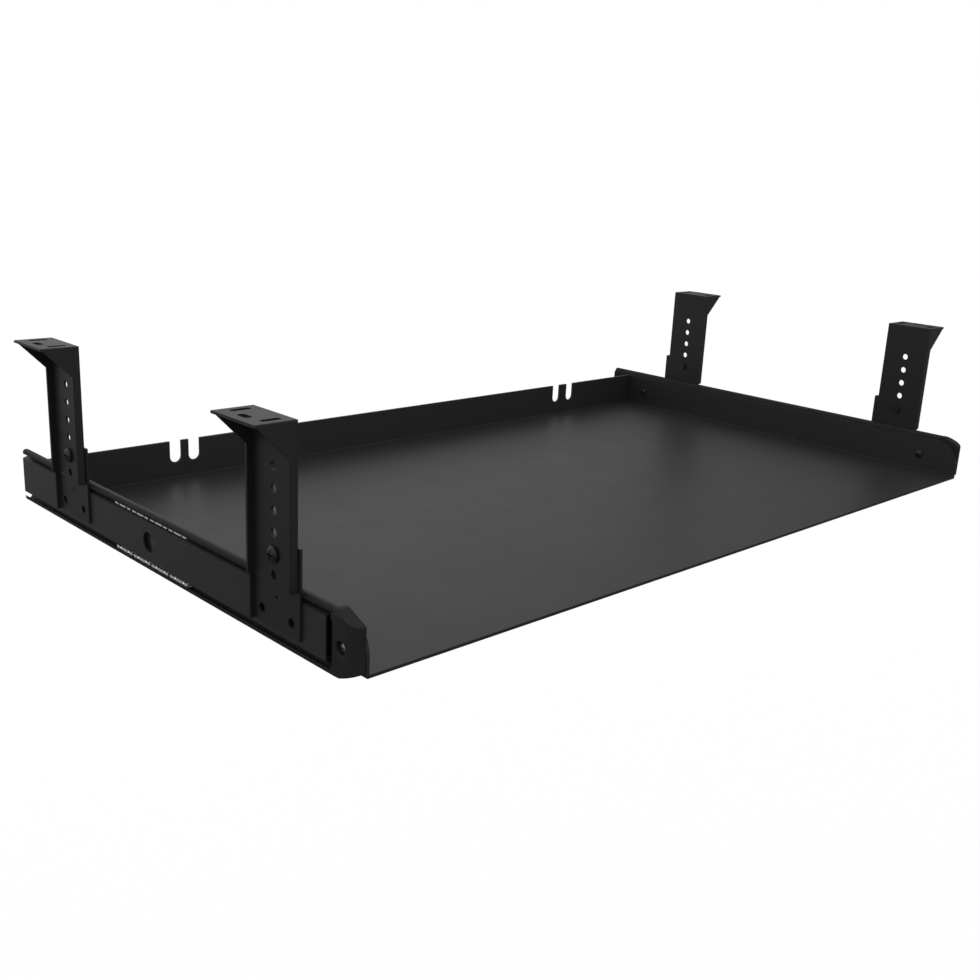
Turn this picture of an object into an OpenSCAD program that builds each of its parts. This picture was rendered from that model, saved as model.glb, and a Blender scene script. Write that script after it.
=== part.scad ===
// Under-desk sliding keyboard tray. A folded steel pan hangs on two ball-bearing slides from four
// two-piece brackets. The bracket tops screw to the underside of a desk top, and the row of holes
// in each bracket sets the height of the pan.
// Frame: origin at the centre of the plane of the bracket tops, +X right, +Y back, +Z up.
// One side is drawn at +X and mirrored for the other. Lengths are millimetres.

/* [Tray pan] */
// Width over the side walls
tray_w = 813; // [500:1:1000]
// Depth, front edge to back wall
tray_d = 465; // [440:1:500]
// Height of the walls over the underside
tray_h = 38.3; // [34:0.1:40]
// Sheet thickness
tray_t = 2.4; // [1.2:0.1:3]
// Inside radius of the folds
tray_bend_r = 0.5; // [0.4:0.1:2]
// Outside radius of the folds
tray_edge_r = 1.2; // [0.8:0.1:2.4]
// Radius of the upper front corner of each side wall
tray_corner_r = 24; // [6:1:28]
// Distance of the underside below the bracket tops
tray_drop = 156; // [153:0.1:158]

/* [Cable notches] */
// Width of one notch in the back wall
notch_w = 12.3; // [6:0.1:16]
// Depth of one notch, from the wall's top to its round bottom
notch_d = 21.3; // [10:0.1:25]
// Distance of the middle of a pair from the centre of the pan
notch_pair_x = 270; // [60:1:360]
// Distance between the two notches of the left pair
notch_gap_left = 20; // [18:1:60]
// Distance between the two notches of the right pair
notch_gap_right = 25; // [18:1:60]

/* [Slides] */
// Height of the channel over its two beads
slide_h = 47.2; // [46.8:0.1:48]
// Depth of the whole slide, pan wall to rail face
slide_w = 9; // [8.8:0.05:10]
// Distance of the slide's centre line below the bracket tops
slide_drop = 136.9; // [135:0.1:140]
// Length of the moving channel
channel_l = 470; // [440:1:480]
// Distance of the channel's front end behind the pan's front edge
channel_setback = 22.1; // [20:0.1:30]
// Length of the fixed rail
rail_l = 462; // [430:1:468]
// Distance of the rail's front end behind the pan's front edge
rail_setback = 30.5; // [28:0.1:32]
// Diameter of the access hole in the rail
access_d = 16; // [8:0.5:18]
// Diameter of the balls
ball_d = 4.8; // [4.6:0.1:5]
// Distance between the two balls of a pair
ball_spacing = 12.4; // [8:0.1:13]
// Distance between neighbouring ball pairs
pair_pitch = 28.6; // [27:0.1:32]
// Ball pairs in each race
ball_pairs = 4; // [2:1:5]

/* [Brackets] */
// Width of the upper bracket
bracket_w = 50; // [46:1:60]
// Height of the upper bracket
bracket_h = 114.4; // [112:0.1:116]
// Depth of the top flange, out from the web's inner face
top_flange = 31.5; // [28:0.5:40]
// Depth of the side flanges below the gusset
side_flange = 7; // [5:0.5:10]
// Sheet thickness of both brackets
bracket_t = 2; // [1.5:0.1:2.2]
// Distance between the front and rear bracket centres
bracket_pitch = 302; // [240:1:360]
// Height of the lower bracket
lower_h = 63.5; // [60:0.5:66]
// Depth of the lower bracket's stiffening flange, out from its inner face
lower_flange = 5.5; // [4:0.5:7]

/* [Height holes and bolts] */
// Holes in the height row
height_holes = 6; // [4:1:6]
// Distance between neighbouring height holes
height_pitch = 14.83; // [14:0.01:15]
// Distance of the first height hole below the bracket top
first_hole = 34.9; // [32:0.1:36]
// Height hole that holds the bolt, counted from the top
used_hole = 5; // [5:1:5]
// Diameter of the height holes
height_hole_d = 6.4; // [6.2:0.1:8]
// Diameter of the height bolt
bolt_d = 6; // [5:0.5:6]

/* [Mounting slots] */
// Width of the two slots that run left to right
cross_slot_w = 5; // [4:0.5:6]
// Length of the two slots that run left to right
cross_slot_l = 15; // [10:0.5:18]
// Distance between the two cross slots of one bracket
cross_slot_gap = 34; // [30:1:38]
// Distance of the cross slots' centre from the web's inner face
cross_slot_x = 14.9; // [13:0.1:17]
// Width of the middle slot, which runs front to back
middle_slot_w = 6; // [5:0.5:7]
// Length of the middle slot
middle_slot_l = 12; // [8:0.5:16]
// Distance of the middle slot's centre from the web's inner face
middle_slot_x = 22.5; // [19:0.5:25]

/* [Hidden] */

$fn = 64;
LEFT = -1;
RIGHT = 1;
FRONT = -1;
REAR = 1;
past = 1; // how far a cutting tool runs past the face it cuts

// Pan
pan_front = -tray_d / 2 - 1;
pan_back = pan_front + tray_d;
pan_under = -tray_drop;
pan_top = pan_under + tray_h;
pan_side = tray_w / 2;

// Slide: across it, x counts from the pan's wall; up it, z counts from the slide's centre line
slide_z = -slide_drop;
channel_t = 1.5;
channel_lip_x = slide_w - 0.25;
channel_lip_r = 2.2;
channel_lip_z = 19.6;
rail_t = 1.1;
rail_web_z = 15.5;
race_x = 5.7;
race_r = 2.7;
race_z = slide_h / 2 - channel_t - race_r;
channel_front = pan_front + channel_setback;
channel_back = channel_front + channel_l;
rail_front = pan_front + rail_setback;
rail_back = rail_front + rail_l;
rail_x = slide_w - rail_t;
access_y = 27.5;

// Ball retainer
retainer_y = 27.1;
retainer_t = 0.5;
retainer_x = channel_t + 0.25;
retainer_tab_in = race_x - 2.1;
retainer_tab_out = race_x + 2.1;
retainer_web_z = race_z - channel_t - 0.5;
retainer_z = race_z + 0.9;
retainer_lip_h = 3.15;
retainer_window_d = 3.8;
retainer_tab_l = ball_spacing + 12.9;
retainer_hole_d = ball_d - 0.2;
retainer_l = (ball_pairs - 1) * pair_pitch + retainer_tab_l;

// Brackets: x of the sheet faces, counted from the centre of the object
lower_in = pan_side + slide_w;
web_in = lower_in + bracket_t;
web_out = web_in + bracket_t;
gusset_drop = top_flange - side_flange;
fold_r = 0.8;
flange_corner_r = 2.5;
bolt_z = -first_hole - (used_hole - 1) * height_pitch;
lower_top = -84;
lower_bottom = lower_top - lower_h;
lower_front_y = -bracket_w / 2 - 1.5;
lower_rear_y = bracket_w / 2 + 3.3;
pilot_d = 2.5;
pilot_z = -125;
rivet_z = slide_z - 0.5;
rivet_spacing = 34;
rivet_d = 7.2;
rivet_bore_d = 6.2;
rivet_rim_d = 7.8;

// End cap and screws
cap_front = pan_front + 0.1;
cap_w = 10.6;
cap_nose_r = 9;
cap_edge_r = 1.5;
cap_top = 24;
cap_bottom = -21.7;
cap_screw_y = pan_front + 13.2;
cap_screw_d = 3.5;
cap_bore_d = 9.2;
cap_floor = 6.5;
cap_screw_bite = 1.8;
cap_round_r = 5;
tray_screw_d = 4;
tray_screw_ys = [pan_front + 42.8, pan_back - 28.2];
hole_play = 0.4;
thread_play = 0.1;

steel_black = [0.11, 0.11, 0.12];
plastic_black = [0.06, 0.06, 0.06];
zinc = [0.72, 0.73, 0.74];
chrome = [0.85, 0.86, 0.88];
rubber_black = [0.04, 0.04, 0.04];

// ---- helpers ----

// Draws the children on one side of the object
module on_side(side) {
    if (side == RIGHT) children();
    else mirror([1, 0, 0]) children();
}

// Draws the children at one bracket
module at_bracket(side, row) {
    on_side(side) translate([0, row * bracket_pitch / 2, 0]) children();
}

// Extrudes an X-Z outline along Y
module along_y(from, to) {
    translate([0, to, 0]) rotate([90, 0, 0]) linear_extrude(to - from) children();
}

// Extrudes a Y-Z outline along X
module along_x(from, to) {
    translate([from, 0, 0]) rotate([90, 0, 90]) linear_extrude(to - from) children();
}

// Round bar or hole along X
module rod_x(from, to, d) {
    translate([from, 0, 0]) rotate([0, 90, 0]) cylinder(h = to - from, d = d);
}

// What a rounding of radius r takes off the corner of a quadrant
module corner_waste(r) {
    difference() {
        translate([-past, -past]) square(r + past);
        translate([r, r]) circle(r);
    }
}

// Arc of points that rounds the corner p between a and b to radius r
function corner_arc(a, p, b, r, steps = 6) =
    let (
        u = (a - p) / norm(a - p),
        v = (b - p) / norm(b - p),
        half = acos(u * v) / 2,
        centre = p + (u + v) / norm(u + v) * r / sin(half),
        first = p + u * r / tan(half) - centre,
        last = p + v * r / tan(half) - centre,
        turn = atan2(first.x * last.y - first.y * last.x, first * last)
    )
    [for (i = [0:steps]) let (t = turn * i / steps)
        centre + [first.x * cos(t) - first.y * sin(t), first.x * sin(t) + first.y * cos(t)]];

// Closed outline with every corner rounded to radius r
function rounded(points, r) =
    let (n = len(points))
    [for (i = [0:n - 1]) each corner_arc(points[(i + n - 1) % n], points[i], points[(i + 1) % n], r)];

// Ring sector round the origin, from angle a0 to a1
module ring_sector(r_in, r_out, a0, a1) {
    reach = 3 * r_out;
    intersection() {
        difference() {
            circle(r_out);
            circle(r_in);
        }
        polygon([[0, 0], for (i = [0:3]) let (a = a0 + (a1 - a0) * i / 3) reach * [cos(a), sin(a)]]);
    }
}

// Draws an outline's upper half and its mirror image below
module both_halves() {
    children();
    mirror([0, 1, 0]) children();
}

// Slot through a flange, centred, with its length along X
module slot(l, w, h) {
    for (s = [-1, 1]) translate([s * (l - w) / 2, 0, 0]) cylinder(h = h, d = w);
    translate([-(l - w) / 2, -w / 2, 0]) cube([l - w, w, h]);
}

// Pan-head screw along Z, its head above the origin and its shank below
module pan_screw(head_d, head_h, shank_d, shank_l) {
    edge_h = head_h * 0.45;
    crown = head_h - edge_h;
    crown_r = (pow(head_d / 2, 2) + pow(crown, 2)) / (2 * crown);
    recess_l = head_d * 0.52;
    recess_w = head_d * 0.11;
    difference() {
        intersection() {
            cylinder(h = head_h, d = head_d);
            translate([0, 0, head_h - crown_r]) sphere(r = crown_r);
        }
        for (a = [0, 90]) rotate([0, 0, a])
            translate([-recess_l / 2, -recess_w / 2, head_h * 0.4]) cube([recess_l, recess_w, head_h]);
    }
    translate([0, 0, -shank_l]) cylinder(h = shank_l, d = shank_d);
}

// ---- tray pan ----

// Upright section of the pan: square on top, rounded at its two lower corners
module pan_section(w, bottom, top, r) {
    translate([-w / 2, bottom + r]) square([w, top - bottom - r]);
    translate([-w / 2 + r, bottom]) square([w - 2 * r, top - bottom]);
    for (s = [-1, 1]) translate([s * (w / 2 - r), bottom + r]) circle(r);
}

// One open-topped notch with a round bottom, cut through the back wall
module cable_notch(x) {
    round_z = pan_top - notch_d + notch_w / 2;
    translate([x, 0, 0]) along_y(pan_back - tray_t - past, pan_back + past) {
        translate([0, round_z]) circle(d = notch_w);
        translate([-notch_w / 2, round_z]) square([notch_w, pan_top - round_z + past]);
    }
}

module tray_pan() {
    color(steel_black) difference() {
        union() {
            difference() {
                along_y(pan_front, pan_back) pan_section(tray_w, pan_under, pan_top, tray_edge_r);
                along_y(pan_front - past, pan_back - tray_t)
                    pan_section(tray_w - 2 * tray_t, pan_under + tray_t, pan_top + past, tray_bend_r);
            }
            // fold between the floor and the back wall, inside
            along_x(-pan_side + tray_t, pan_side - tray_t)
                translate([pan_back - tray_t, pan_under + tray_t]) mirror([1, 0, 0]) difference() {
                    translate([-tray_t / 2, -tray_t / 2]) square(tray_bend_r + tray_t / 2);
                    translate([tray_bend_r, tray_bend_r]) circle(tray_bend_r);
                }
        }
        // fold between the floor and the back wall, outside
        along_x(-pan_side - past, pan_side + past)
            translate([pan_back, pan_under]) mirror([1, 0, 0]) corner_waste(tray_edge_r);
        // rounded upper front corners of the side walls
        along_x(-pan_side - past, pan_side + past)
            translate([pan_front, pan_top]) mirror([0, 1, 0]) corner_waste(tray_corner_r);
        for (k = [-1, 1]) {
            cable_notch(-notch_pair_x + k * notch_gap_left / 2);
            cable_notch(notch_pair_x + k * notch_gap_right / 2);
        }
        for (side = [LEFT, RIGHT]) on_side(side) translate([0, 0, slide_z]) {
            for (y = tray_screw_ys) translate([0, y, 0])
                rod_x(pan_side - tray_t - past, pan_side + past, tray_screw_d + hole_play);
            translate([0, cap_screw_y, 0])
                rod_x(pan_side - cap_screw_bite, pan_side + past, cap_screw_d + thread_play);
        }
    }
}

// ---- slides ----

// C section of the channel: a web whose edges step out and roll round the ball races
module channel_section() {
    translate([0, -race_z]) square([channel_t, 2 * race_z]);
    both_halves() {
        translate([0, race_z - channel_t]) square([race_x - race_r, channel_t]);
        translate([race_x, race_z]) ring_sector(race_r, race_r + channel_t, 90, 180);
        difference() {
            translate([race_x, channel_lip_z])
                square([channel_lip_x - race_x, slide_h / 2 - channel_lip_z]);
            translate([race_x, race_z]) circle(race_r);
            translate([channel_lip_x, slide_h / 2]) rotate(180) corner_waste(channel_lip_r);
        }
    }
}

module slide_channel(side) {
    color(steel_black) on_side(side) difference() {
        translate([pan_side, 0, slide_z]) along_y(channel_front, channel_back) channel_section();
        for (y = tray_screw_ys) translate([0, y, slide_z])
            rod_x(pan_side - past, pan_side + channel_t + past, tray_screw_d + thread_play);
    }
}

// Section of the rail: a flat web whose edges bend inwards and end in a ball groove
module rail_section() {
    groove_start = -82;
    groove_end = -115;
    groove_rim = [cos(groove_start), sin(groove_start)];
    translate([rail_x, -rail_web_z]) square([rail_t, 2 * rail_web_z]);
    both_halves() {
        translate([race_x, race_z]) ring_sector(race_r, race_r + rail_t, groove_start, groove_end);
        polygon([
            [slide_w, rail_web_z - rail_t],
            [slide_w, rail_web_z],
            [race_x, race_z] + race_r * groove_rim,
            [race_x, race_z - race_r - rail_t / 2],
            [rail_x, rail_web_z - rail_t]
        ]);
    }
}

module slide_rail(side) {
    color(steel_black) on_side(side) difference() {
        translate([pan_side, 0, slide_z]) along_y(rail_front, rail_back) rail_section();
        translate([0, access_y, slide_z])
            rod_x(pan_side + rail_x - past, pan_side + slide_w + past, access_d);
        for (row = [FRONT, REAR], s = [-1, 1])
            translate([0, row * bracket_pitch / 2 + s * rivet_spacing / 2, rivet_z])
                rod_x(pan_side + rail_x - past, pan_side + slide_w + past, rivet_d + thread_play);
    }
}

function pair_y(pair) = retainer_y + (pair - (ball_pairs - 1) / 2) * pair_pitch;

// Draws the children at every ball of one race
module at_balls() {
    for (pair = [0:ball_pairs - 1], s = [-1, 1])
        translate([race_x, pair_y(pair) + s * ball_spacing / 2, race_z]) children();
}

// Zinc strip with two tabs for each ball pair; the balls sit in holes and show through windows
module ball_retainer(side) {
    riser_h = retainer_z + 2 * retainer_t - retainer_web_z;
    color(zinc) on_side(side) translate([pan_side, 0, slide_z]) {
        translate([retainer_x, retainer_y - retainer_l / 2, -retainer_web_z])
            cube([retainer_t, retainer_l, 2 * retainer_web_z]);
        for (half = [0, 1]) mirror([0, 0, half]) {
            translate([retainer_x, retainer_y - retainer_l / 2, retainer_web_z - retainer_t])
                cube([retainer_tab_in + retainer_t - retainer_x, retainer_l, retainer_t]);
            difference() {
                for (pair = [0:ball_pairs - 1]) translate([0, pair_y(pair) - retainer_tab_l / 2, 0]) {
                    translate([retainer_tab_in, 0, retainer_web_z - retainer_t])
                        cube([retainer_t, retainer_tab_l, riser_h]);
                    translate([retainer_tab_in, 0, retainer_z])
                        cube([retainer_tab_out - retainer_tab_in, retainer_tab_l, retainer_t]);
                    translate([retainer_tab_out - retainer_t, 0, retainer_z + retainer_t - retainer_lip_h])
                        cube([retainer_t, retainer_tab_l, retainer_lip_h]);
                }
                at_balls() {
                    cylinder(h = 2 * ball_d, d = retainer_hole_d, center = true);
                    rod_x(-ball_d, ball_d, retainer_window_d);
                }
            }
        }
    }
}

module retainer_balls(side) {
    color(chrome) on_side(side) translate([pan_side, 0, slide_z])
        for (half = [0, 1]) mirror([0, 0, half]) at_balls() sphere(d = ball_d);
}

// ---- end caps, bumpers and screws on the pan ----

// Body of the end cap, z up from the slide's centre line: a round nose in plan, chamfered above and
// below, with a full rounding along its top
module end_cap_body() {
    overrun = 3; // takes the roundings of an outline past the faces that another outline cuts
    intersection() {
        along_x(0, cap_w) polygon(rounded([
            [channel_front + overrun, cap_top],
            [channel_front - 4.3, cap_top],
            [cap_front, cap_top - 7.8],
            [cap_front, cap_bottom + 6.2],
            [channel_front - 6, cap_bottom],
            [channel_front + overrun, cap_bottom]
        ], cap_edge_r));
        along_y(cap_front, channel_front) difference() {
            polygon(rounded([
                [-overrun, cap_top],
                [cap_w, cap_top],
                [cap_w, cap_bottom],
                [-overrun, cap_bottom]
            ], cap_edge_r));
            translate([cap_w, cap_top]) rotate(180) corner_waste(cap_round_r);
        }
        translate([0, 0, cap_bottom]) linear_extrude(cap_top - cap_bottom) difference() {
            translate([0, cap_front]) square([cap_w, channel_front - cap_front]);
            translate([cap_w, cap_front]) mirror([1, 0, 0]) corner_waste(cap_nose_r);
        }
    }
}

module end_cap(side) {
    tongue_l = 4.6;
    tongue_z = 13;
    wrap_l = 1.8;
    wrap_z = 16;
    color(plastic_black) on_side(side) translate([0, 0, slide_z]) difference() {
        union() {
            translate([pan_side, 0, 0]) end_cap_body();
            // tongue inside the channel
            translate([pan_side + channel_t, channel_front - past, -tongue_z])
                cube([3.3, past + tongue_l, 2 * tongue_z]);
            // ribs beside the channel's lips
            for (half = [0, 1]) mirror([0, 0, half])
                translate([pan_side + slide_w, channel_front - past, wrap_z])
                    cube([cap_w - slide_w, past + wrap_l, -cap_bottom - wrap_z - cap_edge_r]);
        }
        translate([0, cap_screw_y, 0]) {
            rod_x(pan_side + cap_floor, pan_side + cap_w + past, cap_bore_d);
            rod_x(pan_side - past, pan_side + cap_w, cap_screw_d + hole_play);
        }
    }
}

module end_cap_screw(side) {
    color(zinc) on_side(side) translate([pan_side + cap_floor, cap_screw_y, slide_z])
        rotate([0, 90, 0]) pan_screw(7, 2.4, cap_screw_d, cap_floor + cap_screw_bite);
}

module stop_bumper(side) {
    color(rubber_black) on_side(side) translate([pan_side + channel_t, channel_back - 10, slide_z - 12])
        cube([3.3, 10, 24]);
}

module tray_screws(side) {
    color(zinc) on_side(side) for (y = tray_screw_ys)
        translate([pan_side - tray_t, y, slide_z])
            rotate([0, -90, 0]) pan_screw(8, 2.5, tray_screw_d, tray_t + channel_t);
}

// ---- brackets ----

// Side flange with its gusset, seen along Y
module side_flange_outline() {
    flange_x = web_in + side_flange;
    difference() {
        polygon([
            [web_in, 0],
            [web_in + top_flange, 0],
            [flange_x, -gusset_drop],
            [flange_x, -bracket_h],
            [web_in, -bracket_h]
        ]);
        translate([flange_x, -bracket_h]) mirror([1, 0, 0]) corner_waste(flange_corner_r);
    }
}

module upper_bracket(side, row) {
    half_w = bracket_w / 2;
    color(steel_black) at_bracket(side, row) difference() {
        union() {
            translate([web_in, -half_w, -bracket_h]) cube([bracket_t, bracket_w, bracket_h]);
            translate([web_in, -half_w, -bracket_t]) cube([top_flange, bracket_w, bracket_t]);
            for (y = [-half_w, half_w - bracket_t]) along_y(y, y + bracket_t) side_flange_outline();
        }
        // folds between the web and the side flanges
        for (flip = [0, 1]) mirror([0, flip, 0]) translate([web_in, -half_w, -bracket_h - past])
            linear_extrude(bracket_h + 2 * past) corner_waste(fold_r);
        // fold between the web and the top flange
        along_y(-half_w - past, half_w + past)
            translate([web_in, 0]) mirror([0, 1, 0]) corner_waste(fold_r);
        // folds between the top flange and the side flanges
        for (flip = [0, 1]) mirror([0, flip, 0]) along_x(web_in - past, web_in + top_flange + past)
            translate([-half_w, 0]) mirror([0, 1, 0]) corner_waste(fold_r);
        for (i = [0:height_holes - 1]) translate([0, 0, -first_hole - i * height_pitch])
            rod_x(web_in - past, web_out + past, height_hole_d);
        for (s = [-1, 1]) translate([web_in + cross_slot_x, s * cross_slot_gap / 2, -bracket_t - past])
            slot(cross_slot_l, cross_slot_w, bracket_t + 2 * past);
        translate([web_in + middle_slot_x, 0, -bracket_t - past])
            rotate([0, 0, 90]) slot(middle_slot_l, middle_slot_w, bracket_t + 2 * past);
    }
}

module lower_bracket(side, row) {
    color(steel_black) at_bracket(side, row) difference() {
        union() {
            translate([lower_in, lower_front_y, lower_bottom])
                cube([bracket_t, lower_rear_y - lower_front_y, lower_h]);
            translate([lower_in, lower_rear_y - bracket_t, lower_bottom])
                cube([lower_flange, bracket_t, lower_h]);
        }
        // fold between the plate and its flange
        translate([lower_in, lower_rear_y, lower_bottom - past]) mirror([0, 1, 0])
            linear_extrude(lower_h + 2 * past) corner_waste(fold_r);
        translate([0, 0, bolt_z]) rod_x(lower_in - past, web_in + past, height_hole_d);
        translate([0, 0, pilot_z]) rod_x(lower_in - past, web_in + past, pilot_d);
        for (s = [-1, 1]) translate([0, s * rivet_spacing / 2, rivet_z])
            rod_x(lower_in - past, web_in + past, rivet_d + thread_play);
    }
}

module height_bolt(side, row) {
    nut_end = 2.6;
    color(steel_black) at_bracket(side, row) translate([web_out, 0, bolt_z])
        rotate([0, 90, 0]) pan_screw(12, 3.7, bolt_d, 2 * bracket_t + nut_end);
}

module press_nut(side, row) {
    nut_h = 2;
    color(steel_black) at_bracket(side, row) translate([0, 0, bolt_z]) difference() {
        rod_x(lower_in - nut_h, lower_in, 9);
        rod_x(lower_in - nut_h - past, lower_in + past, bolt_d + thread_play);
    }
}

// Two eyelets, flared at both ends, that hold the lower bracket on the rail
module rail_rivets(side, row) {
    rim_h = 0.15;
    rail_in = pan_side + rail_x;
    color(steel_black) at_bracket(side, row) for (s = [-1, 1])
        translate([0, s * rivet_spacing / 2, rivet_z]) difference() {
            union() {
                rod_x(web_in, web_in + rim_h, rivet_rim_d);
                rod_x(rail_in - rim_h, web_in, rivet_d);
                rod_x(rail_in - rim_h, rail_in, rivet_rim_d);
            }
            rod_x(rail_in - rim_h - past, web_in + rim_h + past, rivet_bore_d);
        }
}

// ---- nodes ----

tray_pan();
slide_channel(LEFT);  // slide_channel_left
slide_channel(RIGHT);  // slide_channel_right
slide_rail(LEFT);  // slide_rail_left
slide_rail(RIGHT);  // slide_rail_right
ball_retainer(LEFT);  // ball_retainer_left
ball_retainer(RIGHT);  // ball_retainer_right
retainer_balls(LEFT);  // retainer_balls_left
retainer_balls(RIGHT);  // retainer_balls_right
end_cap(LEFT);  // end_cap_left
end_cap(RIGHT);  // end_cap_right
end_cap_screw(LEFT);  // end_cap_screw_left
end_cap_screw(RIGHT);  // end_cap_screw_right
stop_bumper(LEFT);  // stop_bumper_left
stop_bumper(RIGHT);  // stop_bumper_right
tray_screws(LEFT);  // tray_screws_left
tray_screws(RIGHT);  // tray_screws_right
upper_bracket(LEFT, FRONT);  // upper_bracket_front_left
upper_bracket(RIGHT, FRONT);  // upper_bracket_front_right
upper_bracket(LEFT, REAR);  // upper_bracket_rear_left
upper_bracket(RIGHT, REAR);  // upper_bracket_rear_right
lower_bracket(LEFT, FRONT);  // lower_bracket_front_left
lower_bracket(RIGHT, FRONT);  // lower_bracket_front_right
lower_bracket(LEFT, REAR);  // lower_bracket_rear_left
lower_bracket(RIGHT, REAR);  // lower_bracket_rear_right
height_bolt(LEFT, FRONT);  // height_bolt_front_left
height_bolt(RIGHT, FRONT);  // height_bolt_front_right
height_bolt(LEFT, REAR);  // height_bolt_rear_left
height_bolt(RIGHT, REAR);  // height_bolt_rear_right
press_nut(LEFT, FRONT);  // press_nut_front_left
press_nut(RIGHT, FRONT);  // press_nut_front_right
press_nut(LEFT, REAR);  // press_nut_rear_left
press_nut(RIGHT, REAR);  // press_nut_rear_right
rail_rivets(LEFT, FRONT);  // rail_rivets_front_left
rail_rivets(RIGHT, FRONT);  // rail_rivets_front_right
rail_rivets(LEFT, REAR);  // rail_rivets_rear_left
rail_rivets(RIGHT, REAR);  // rail_rivets_rear_right
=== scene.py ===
"""Looks for an under-desk sliding keyboard tray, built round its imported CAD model. Lengths are metres."""

import math

import bpy
from mathutils import Matrix, Vector


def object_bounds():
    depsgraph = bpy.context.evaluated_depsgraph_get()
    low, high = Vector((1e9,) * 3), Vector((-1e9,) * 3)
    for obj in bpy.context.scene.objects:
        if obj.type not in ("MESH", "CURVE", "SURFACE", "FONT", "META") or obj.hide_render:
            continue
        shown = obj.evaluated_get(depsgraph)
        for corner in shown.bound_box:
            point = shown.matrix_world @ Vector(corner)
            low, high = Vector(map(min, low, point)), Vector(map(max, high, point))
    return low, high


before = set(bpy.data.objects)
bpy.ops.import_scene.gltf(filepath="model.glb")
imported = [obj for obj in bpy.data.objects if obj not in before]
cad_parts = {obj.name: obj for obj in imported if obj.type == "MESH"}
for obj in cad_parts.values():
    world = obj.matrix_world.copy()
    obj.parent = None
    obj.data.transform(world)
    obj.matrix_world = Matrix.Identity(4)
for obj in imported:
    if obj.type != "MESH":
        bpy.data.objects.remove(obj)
cad_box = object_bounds()

MM = 0.001
SIDES = ("left", "right")
ROWS = ("front", "rear")

# Camera: its place, its compass bearing from +Y towards +X, its tilt and roll, and its lens
CAMERA_AT = Vector((-0.81205, -0.74766, 0.16040))
CAMERA_BEARING = math.radians(44.49)
CAMERA_TILT = math.radians(-16.2475)
CAMERA_ROLL = math.radians(2.829)
CAMERA_LENS = 42.126
CAMERA_SENSOR = 36.0
CAMERA_NEAR = 0.01

# Edges of pressed and turned pieces: a soft edge's facets, and how sharp an edge has to be to be softened
EDGE_FACETS = 2
EDGE_ANGLE = math.radians(40)

# Skin of moulded pieces: its grid, and how far its edges melt
SKIN_GRID = 0.35 * MM
MELT_FACTOR = 0.5
MELT_ROUNDS = 16

# Powder coat is a little bluer than grey
COAT_BLUE = 1.02

# Floor: how far below the tray it is, its side, and how light and how self-lit its paint is
FLOOR_DROP = 1.5
FLOOR_SIDE = 400.0
FLOOR_GREY = 0.16
FLOOR_ROUGHNESS = 0.9
FLOOR_GLOW = 0.86

# Light from the sky: from the left and overhead, from the far right, and the part of it from below
SKY_LEFT = 0.77
SKY_RIGHT = 0.26
SKY_BELOW = 0.16

# Where the sky changes, in a ray's direction: its X from left to right, and its Z from below to level
SKY_TURN = (0.60, 0.88)
SKY_HORIZON = (-0.30, -0.03)

# Soft lamp above the tray
SOFTBOX_AT = (-0.3, -0.2, 2.2)
SOFTBOX_SIZE = (2.4, 1.8)
SOFTBOX_WATTS = 6.0


# ---- node trees ----


def add_node(tree, kind, inputs=None, **settings):
    """One shader node, with its settings and its unlinked input values."""
    made = tree.nodes.new(kind)
    for key, value in settings.items():
        setattr(made, key, value)
    for key, value in (inputs or {}).items():
        made.inputs[key].default_value = value
    return made


def new_surface(name, **inputs):
    """A material with one Principled shader, whose constant values sit on its own sockets."""
    material = bpy.data.materials.new(name)
    material.use_nodes = True
    tree = material.node_tree
    shader = tree.nodes["Principled BSDF"]
    for key, value in inputs.items():
        shader.inputs[key.replace("_", " ")].default_value = value
    return material, tree, shader


def noise(tree, scale, detail=3.0, roughness=0.5, stretch=(1.0, 1.0, 1.0)):
    """A noise pattern in object space: scale is in cycles per metre, and stretch squeezes an axis."""
    place = add_node(tree, "ShaderNodeTexCoord")
    mapping = add_node(tree, "ShaderNodeMapping", {"Scale": stretch})
    pattern = add_node(
        tree,
        "ShaderNodeTexNoise",
        {"Scale": scale, "Detail": detail, "Roughness": roughness},
    )
    tree.links.new(place.outputs["Object"], mapping.inputs["Vector"])
    tree.links.new(mapping.outputs["Vector"], pattern.inputs["Vector"])
    return pattern.outputs["Fac"]


def spread(tree, value, low, high, start=0.3, end=0.7):
    """Maps a pattern's middle band onto the range low to high."""
    ranged = add_node(
        tree,
        "ShaderNodeMapRange",
        {"From Min": start, "From Max": end, "To Min": low, "To Max": high},
    )
    tree.links.new(value, ranged.inputs["Value"])
    return ranged.outputs["Result"]


def grey(value, blue=1.0):
    """A neutral colour, or with blue above 1 a slightly cold one."""
    return (value, value, blue * value)


def set_colour(tree, shader, value, first, second):
    """Runs the base colour from the first to the second as value goes from 0 to 1."""
    mix = add_node(tree, "ShaderNodeMix", data_type="RGBA")
    mix.inputs["A"].default_value = (*first, 1.0)
    mix.inputs["B"].default_value = (*second, 1.0)
    tree.links.new(value, mix.inputs["Factor"])
    tree.links.new(mix.outputs["Result"], shader.inputs["Base Color"])


def set_roughness(tree, shader, value, low, high):
    """Runs the roughness from low to high over a pattern's middle band."""
    tree.links.new(spread(tree, value, low, high), shader.inputs["Roughness"])


def add_bump(tree, shader, layers):
    """Stacks height patterns, given as (value, depth in metres), into the shader's normal."""
    normal = None
    for value, depth in layers:
        bump = add_node(tree, "ShaderNodeBump", {"Strength": 1.0, "Distance": depth})
        tree.links.new(value, bump.inputs["Height"])
        if normal is not None:
            tree.links.new(normal, bump.inputs["Normal"])
        normal = bump.outputs["Normal"]
    tree.links.new(normal, shader.inputs["Normal"])


# ---- materials ----


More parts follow.
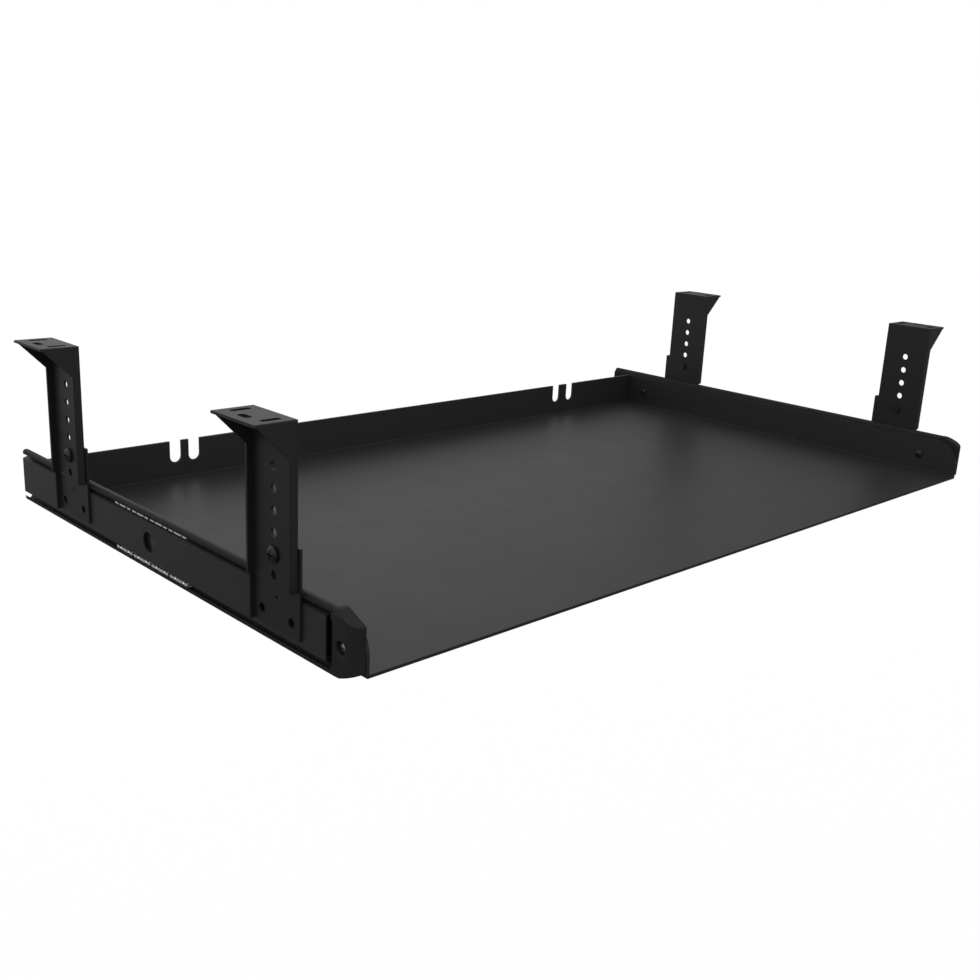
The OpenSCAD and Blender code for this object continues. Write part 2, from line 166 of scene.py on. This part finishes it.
def powder_coat(name, ior, dark, light):
    """Satin black powder coat: a fine orange peel, with a nearly even gloss and tone."""
    material, tree, shader = new_surface(name, IOR=ior)
    tone = spread(tree, noise(tree, 9.0), 0.0, 1.0)
    set_colour(tree, shader, tone, grey(dark, COAT_BLUE), grey(light, COAT_BLUE))
    set_roughness(tree, shader, noise(tree, 35.0), 0.41, 0.44)
    add_bump(tree, shader, [(noise(tree, 750.0), 0.006 * MM), (noise(tree, 2600.0), 0.002 * MM)])
    return material


def slide_coat(name, ior, dark, light):
    """Dull black e-coat on rolled steel, with faint rolling lines along the slide."""
    material, tree, shader = new_surface(name, IOR=ior)
    along_slide = (1.0, 0.03, 1.0)
    lines = noise(tree, 420.0, detail=4.0, stretch=along_slide)
    tone = spread(tree, lines, 0.0, 1.0)
    set_colour(tree, shader, tone, grey(dark), grey(light))
    set_roughness(tree, shader, noise(tree, 60.0, stretch=along_slide), 0.42, 0.48)
    add_bump(tree, shader, [(lines, 0.006 * MM), (noise(tree, 1500.0), 0.003 * MM)])
    return material


def bright_zinc():
    """Bright zinc plate with a faint spangle."""
    material, tree, shader = new_surface("bright_zinc", Metallic=1.0)
    tone = spread(tree, noise(tree, 260.0), 0.0, 1.0)
    set_colour(tree, shader, tone, (0.86, 0.87, 0.88), (0.94, 0.94, 0.95))
    set_roughness(tree, shader, noise(tree, 500.0), 0.47, 0.59)
    add_bump(tree, shader, [(noise(tree, 900.0), 0.006 * MM)])
    return material


def ball_steel():
    """Polished bearing steel with a film of grease."""
    material, tree, shader = new_surface("ball_steel", Metallic=1.0, Coat_Weight=0.3)
    film = spread(tree, noise(tree, 700.0), 0.0, 1.0)
    set_colour(tree, shader, film, (0.78, 0.79, 0.80), (0.86, 0.86, 0.87))
    set_roughness(tree, shader, noise(tree, 900.0), 0.08, 0.18)
    return material


def cap_plastic():
    """Moulded black plastic with a fine spark-eroded texture."""
    material, tree, shader = new_surface("cap_plastic", IOR=1.20)
    tone = spread(tree, noise(tree, 40.0), 0.0, 1.0)
    set_colour(tree, shader, tone, grey(0.019), grey(0.022))
    set_roughness(tree, shader, noise(tree, 120.0), 0.48, 0.58)
    texture = noise(tree, 3200.0, detail=5.0)
    add_bump(tree, shader, [(texture, 0.012 * MM), (noise(tree, 300.0), 0.008 * MM)])
    return material


def screw_black():
    """Black oxide on turned steel, rubbed a little lighter in places."""
    material, tree, shader = new_surface("screw_black", Metallic=0.6)
    rubbed = spread(tree, noise(tree, 420.0), 0.0, 1.0, start=0.45, end=0.8)
    set_colour(tree, shader, rubbed, (0.020, 0.020, 0.022), (0.060, 0.060, 0.062))
    set_roughness(tree, shader, noise(tree, 700.0), 0.30, 0.42)
    add_bump(tree, shader, [(noise(tree, 1800.0), 0.004 * MM)])
    return material


def screw_zinc():
    """Dull zinc on a self-tapping screw."""
    material, tree, shader = new_surface("screw_zinc", Metallic=1.0)
    tone = spread(tree, noise(tree, 600.0), 0.0, 1.0)
    set_colour(tree, shader, tone, (0.30, 0.30, 0.31), (0.42, 0.42, 0.43))
    set_roughness(tree, shader, noise(tree, 900.0), 0.30, 0.45)
    add_bump(tree, shader, [(noise(tree, 1500.0), 0.004 * MM)])
    return material


def bumper_rubber():
    """Matte black rubber with a dusty bloom."""
    material, tree, shader = new_surface("bumper_rubber", IOR=1.45)
    bloom = spread(tree, noise(tree, 220.0), 0.0, 1.0)
    set_colour(tree, shader, bloom, grey(0.016), (0.032, 0.032, 0.031))
    set_roughness(tree, shader, noise(tree, 300.0), 0.68, 0.84)
    add_bump(tree, shader, [(noise(tree, 2200.0), 0.015 * MM)])
    return material


# ---- how a CAD node is finished ----


def paint(node, material):
    """Gives a CAD node its only material, and returns the node's object."""
    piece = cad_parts[node]
    piece.data.materials.clear()
    piece.data.materials.append(material)
    return piece


def dress(node, material, edge=0.3 * MM):
    """Paints a pressed or turned CAD node and softens its sharp edges."""
    piece = paint(node, material)
    for face in piece.data.polygons:
        face.use_smooth = True
    bevel = piece.modifiers.new("soft_edges", "BEVEL")
    bevel.width = edge
    bevel.segments = EDGE_FACETS
    bevel.limit_method = "ANGLE"
    bevel.angle_limit = EDGE_ANGLE
    bevel.harden_normals = True


def mould(node, material):
    """Paints a moulded CAD node and melts its edges into one skin, as a mould does."""
    piece = paint(node, material)
    skin = piece.modifiers.new("skin", "REMESH")
    skin.mode = "VOXEL"
    skin.voxel_size = SKIN_GRID
    skin.use_smooth_shade = True
    melt = piece.modifiers.new("melt", "SMOOTH")
    melt.factor = MELT_FACTOR
    melt.iterations = MELT_ROUNDS


# ---- stage ----


def put_in_scene(name, data):
    """A new object in the scene that holds the given camera, lamp or mesh."""
    made = bpy.data.objects.new(name, data)
    bpy.context.scene.collection.objects.link(made)
    return made


def make_camera():
    """The camera, from its place, bearing, tilt and roll."""
    camera = put_in_scene("camera", bpy.data.cameras.new("camera"))
    camera.data.lens = CAMERA_LENS
    camera.data.sensor_width = CAMERA_SENSOR
    camera.data.clip_start = CAMERA_NEAR
    camera.data.clip_end = FLOOR_SIDE
    forward = Vector((
        math.sin(CAMERA_BEARING) * math.cos(CAMERA_TILT),
        math.cos(CAMERA_BEARING) * math.cos(CAMERA_TILT),
        math.sin(CAMERA_TILT),
    ))
    level = Vector((math.cos(CAMERA_BEARING), -math.sin(CAMERA_BEARING), 0.0))
    upright = level.cross(forward)
    across = math.cos(CAMERA_ROLL) * level + math.sin(CAMERA_ROLL) * upright
    up = math.cos(CAMERA_ROLL) * upright - math.sin(CAMERA_ROLL) * level
    turned = Matrix((across, up, -forward)).transposed().to_4x4()
    camera.matrix_world = Matrix.Translation(CAMERA_AT) @ turned
    bpy.context.scene.camera = camera


def make_floor():
    """A pale floor far below the hanging tray. It is nearly self-lit, so that shadows on it stay faint."""
    mesh = bpy.data.meshes.new("floor")
    half = FLOOR_SIDE / 2
    z = cad_box[0].z - FLOOR_DROP
    corners = [(-half, -half, z), (half, -half, z), (half, half, z), (-half, half, z)]
    mesh.from_pydata(corners, [], [(0, 1, 2, 3)])
    floor = put_in_scene("floor", mesh)
    material, _, _ = new_surface(
        "floor_paint",
        Base_Color=(*grey(FLOOR_GREY), 1.0),
        Roughness=FLOOR_ROUGHNESS,
        Emission_Color=(*grey(1.0), 1.0),
        Emission_Strength=FLOOR_GLOW,
    )
    mesh.materials.append(material)
    floor.visible_diffuse = False
    floor.visible_glossy = False


def make_sky():
    """White to the camera. Its light on the tray fades to the right, and is faint from below."""
    world = bpy.data.worlds.new("sky")
    world.use_nodes = True
    bpy.context.scene.world = world
    tree = world.node_tree
    background = tree.nodes["Background"]
    place = add_node(tree, "ShaderNodeTexCoord")
    split = add_node(tree, "ShaderNodeSeparateXYZ")
    tree.links.new(place.outputs["Generated"], split.inputs["Vector"])
    height = spread(tree, split.outputs["Z"], SKY_BELOW, 1.0, *SKY_HORIZON)
    across = spread(tree, split.outputs["X"], SKY_LEFT, SKY_RIGHT, *SKY_TURN)
    strength = add_node(tree, "ShaderNodeMath", operation="MULTIPLY")
    tree.links.new(height, strength.inputs[0])
    tree.links.new(across, strength.inputs[1])
    path = add_node(tree, "ShaderNodeLightPath")
    seen = add_node(tree, "ShaderNodeMix", {"B": 1.0}, data_type="FLOAT")
    tree.links.new(path.outputs["Is Camera Ray"], seen.inputs["Factor"])
    tree.links.new(strength.outputs["Value"], seen.inputs["A"])
    tree.links.new(seen.outputs["Result"], background.inputs["Strength"])
    background.inputs["Color"].default_value = (*grey(1.0), 1.0)


def make_softbox():
    """One large soft lamp above the tray."""
    lamp = bpy.data.lights.new("softbox", "AREA")
    lamp.shape = "RECTANGLE"
    lamp.size, lamp.size_y = SOFTBOX_SIZE
    lamp.energy = SOFTBOX_WATTS
    softbox = put_in_scene("softbox", lamp)
    softbox.location = SOFTBOX_AT


# ---- the build ----

make_camera()
make_floor()
make_sky()
make_softbox()
bpy.context.scene.view_settings.view_transform = "Standard"

pan_coat = powder_coat("pan_coat", 1.37, 0.0205, 0.0220)
bracket_coat = powder_coat("bracket_coat", 1.36, 0.0145, 0.0160)
channel_coat = slide_coat("channel_coat", 1.16, 0.019, 0.023)
rail_coat = slide_coat("rail_coat", 1.38, 0.020, 0.025)
zinc = bright_zinc()
balls = ball_steel()
plastic = cap_plastic()
black_screw = screw_black()
zinc_screw = screw_zinc()
rubber = bumper_rubber()

dress("tray_pan", pan_coat, edge=0.4 * MM)
for side in SIDES:
    dress(f"slide_channel_{side}", channel_coat, edge=0.2 * MM)
    dress(f"slide_rail_{side}", rail_coat, edge=0.2 * MM)
    dress(f"ball_retainer_{side}", zinc, edge=0.1 * MM)
    dress(f"retainer_balls_{side}", balls)
    mould(f"end_cap_{side}", plastic)
    dress(f"end_cap_screw_{side}", zinc_screw, edge=0.15 * MM)
    dress(f"stop_bumper_{side}", rubber, edge=0.8 * MM)
    dress(f"tray_screws_{side}", black_screw, edge=0.15 * MM)
    for row in ROWS:
        dress(f"upper_bracket_{row}_{side}", bracket_coat)
        dress(f"lower_bracket_{row}_{side}", bracket_coat)
        dress(f"height_bolt_{row}_{side}", black_screw, edge=0.2 * MM)
        dress(f"press_nut_{row}_{side}", black_screw, edge=0.3 * MM)
        dress(f"rail_rivets_{row}_{side}", black_screw, edge=0.1 * MM)
